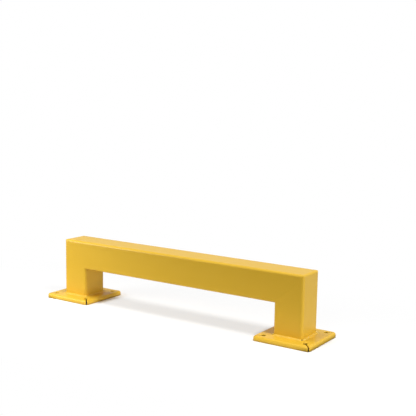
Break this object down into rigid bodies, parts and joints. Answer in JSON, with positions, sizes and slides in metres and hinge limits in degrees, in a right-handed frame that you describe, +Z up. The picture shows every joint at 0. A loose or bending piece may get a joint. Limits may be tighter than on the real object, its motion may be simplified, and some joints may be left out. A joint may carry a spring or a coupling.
{
  "type": "rack column guard",
  "caption": "Low floor guard for storage racks: a square-tube rail with mitred corners on short posts, each welded to a formed base plate with slit corners and anchor holes.",
  "frame": {"origin": "on the floor, under the middle of the rail", "axes": "+X along the rail, +Y across it, +Z up from the floor"},
  "size_m": [1.0864, 0.198, 0.22],
  "materials": {
    "yellow_paint": "satin powder coat on steel",
    "painted_weld": "powder coat over a fillet weld bead"
  },
  "bodies": {
    "root": {"top_rail": "yellow_paint", "left_post": "yellow_paint", "right_post": "yellow_paint", "left_base_plate": "yellow_paint", "right_base_plate": "yellow_paint", "left_foot_weld": "painted_weld", "right_foot_weld": "painted_weld"}
  },
  "joints": []
}
